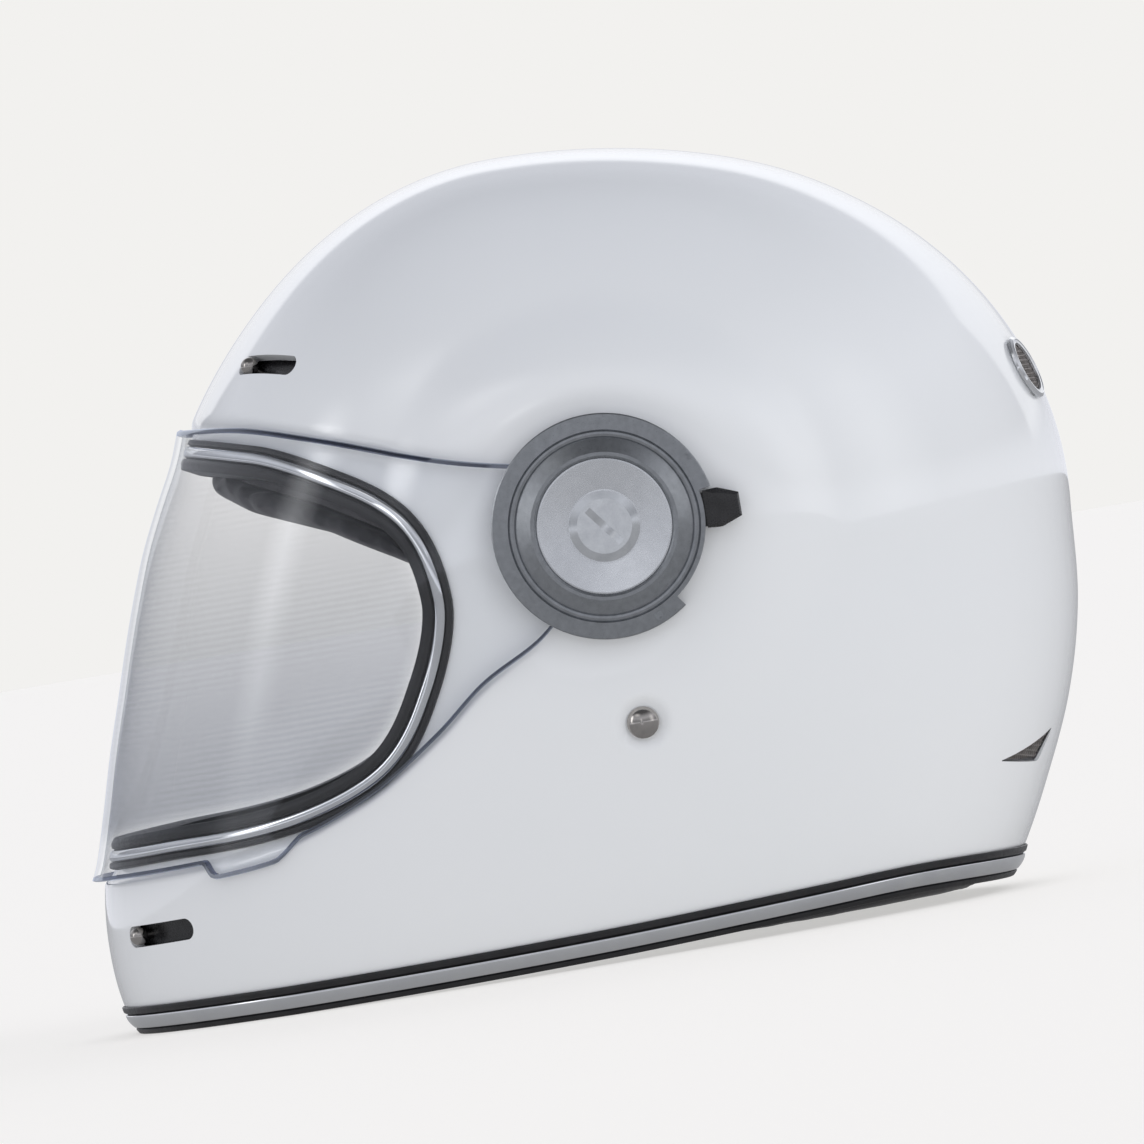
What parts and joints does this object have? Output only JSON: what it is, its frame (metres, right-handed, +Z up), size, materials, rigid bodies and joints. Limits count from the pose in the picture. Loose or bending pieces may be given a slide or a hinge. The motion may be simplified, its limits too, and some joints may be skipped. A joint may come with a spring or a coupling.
{
  "type": "motorcycle helmet",
  "caption": "Full-face road helmet with a gloss white shell, a clear tilting visor on round side pivots, chrome and rubber edge trims, slide vents and a padded lining.",
  "frame": {"origin": "centre of the bounding box's footprint, at the ground the helmet rests on", "axes": "+X towards the wearer's left, -Y towards the front where the visor is, +Z up; the longest extent lies along Y"},
  "size_m": [0.2644, 0.3391, 0.265],
  "materials": {
    "shell_white": "gloss",
    "foam_grey": "matte",
    "lining_cloth": "matte",
    "rubber_black": "matte",
    "trim_chrome": "polished",
    "visor_clear": "gloss",
    "black_plastic": "satin",
    "grey_metal": "satin",
    "spun_steel": "satin",
    "mesh_steel": "satin",
    "webbing_black": "matte"
  },
  "bodies": {
    "shell": {"outer_shell": "shell_white", "eps_crown_liner": "foam_grey", "eps_chin_liner": "foam_grey", "comfort_crown_liner": "lining_cloth", "brow_pad": "lining_cloth", "cheek_pad_left": "lining_cloth", "cheek_pad_right": "lining_cloth", "neck_roll": "lining_cloth", "eyeport_gasket": "rubber_black", "eyeport_trim": "trim_chrome", "rim_gasket": "rubber_black", "rim_trim": "trim_chrome", "pivot_insert_left": "spun_steel", "pivot_insert_right": "spun_steel", "pivot_base_left": "black_plastic", "pivot_base_right": "black_plastic", "pivot_cover_left": "grey_metal", "pivot_cover_right": "grey_metal", "pivot_washer_left": "spun_steel", "pivot_washer_right": "spun_steel", "pivot_dish_left": "spun_steel", "pivot_dish_right": "spun_steel", "pivot_screw_left": "spun_steel", "pivot_screw_right": "spun_steel", "base_screws": "spun_steel", "strap_rivets": "spun_steel", "strap_anchor_left": "spun_steel", "strap_anchor_right": "spun_steel", "chin_strap_left": "webbing_black", "chin_strap_right": "webbing_black", "strap_snap": "spun_steel", "chin_vent_track_left": "black_plastic", "chin_vent_track_right": "black_plastic", "brow_vent_track_left": "black_plastic", "brow_vent_track_right": "black_plastic", "rear_vent_ring_left": "trim_chrome", "rear_vent_ring_right": "trim_chrome", "rear_vent_mesh_left": "mesh_steel", "rear_vent_mesh_right": "mesh_steel", "rear_grille_left": "mesh_steel", "rear_grille_right": "mesh_steel"},
    "visor": {"visor": "visor_clear"},
    "lock_lever_left": {"lock_lever_left": "black_plastic"},
    "lock_lever_right": {"lock_lever_right": "black_plastic"},
    "d_rings": {"d_ring_front": "spun_steel", "d_ring_rear": "spun_steel"},
    "chin_vent_left": {"chin_vent_slider_left": "black_plastic", "chin_vent_knob_left": "trim_chrome"},
    "chin_vent_right": {"chin_vent_slider_right": "black_plastic", "chin_vent_knob_right": "trim_chrome"},
    "brow_vent_left": {"brow_vent_slider_left": "black_plastic", "brow_vent_knob_left": "trim_chrome"},
    "brow_vent_right": {"brow_vent_slider_right": "black_plastic", "brow_vent_knob_right": "trim_chrome"}
  },
  "joints": [
    {"name": "visor_tilt", "type": "hinge", "parent": "shell", "child": "visor", "pos_m": [0, 0.0156, 0.139], "axis": [-1, 0, 0], "range_deg": [0, 50]},
    {"name": "lever_turn_left", "type": "hinge", "parent": "shell", "child": "lock_lever_left", "pos_m": [0, 0.0156, 0.139], "axis": [-1, 0, 0], "range_deg": [0, 42]},
    {"name": "lever_turn_right", "type": "hinge", "parent": "shell", "child": "lock_lever_right", "pos_m": [0, 0.0156, 0.139], "axis": [-1, 0, 0], "range_deg": [0, 42]},
    {"name": "chin_vent_slide_left", "type": "hinge", "parent": "shell", "child": "chin_vent_left", "pos_m": [-0.00141, -0.07047, 0.03664], "axis": [0.0136, -0.0411, 0.9991], "range_deg": [0, 11.59]},
    {"name": "chin_vent_slide_right", "type": "hinge", "parent": "shell", "child": "chin_vent_right", "pos_m": [0.00141, -0.07047, 0.03664], "axis": [0.0136, 0.0411, -0.9991], "range_deg": [0, 11.59]},
    {"name": "brow_vent_slide_left", "type": "hinge", "parent": "shell", "child": "brow_vent_left", "pos_m": [0.00984, -0.01107, 0.144], "axis": [-0.2392, 0.5454, 0.8033], "range_deg": [0, 10.27]},
    {"name": "brow_vent_slide_right", "type": "hinge", "parent": "shell", "child": "brow_vent_right", "pos_m": [-0.00984, -0.01107, 0.144], "axis": [-0.2392, -0.5454, -0.8033], "range_deg": [0, 10.27]},
    {"name": "ring_swing", "type": "hinge", "parent": "shell", "child": "d_rings", "pos_m": [0.0499, 0.0174, 0.06], "axis": [0, 1, 0], "range_deg": [0, 80]}
  ]
}
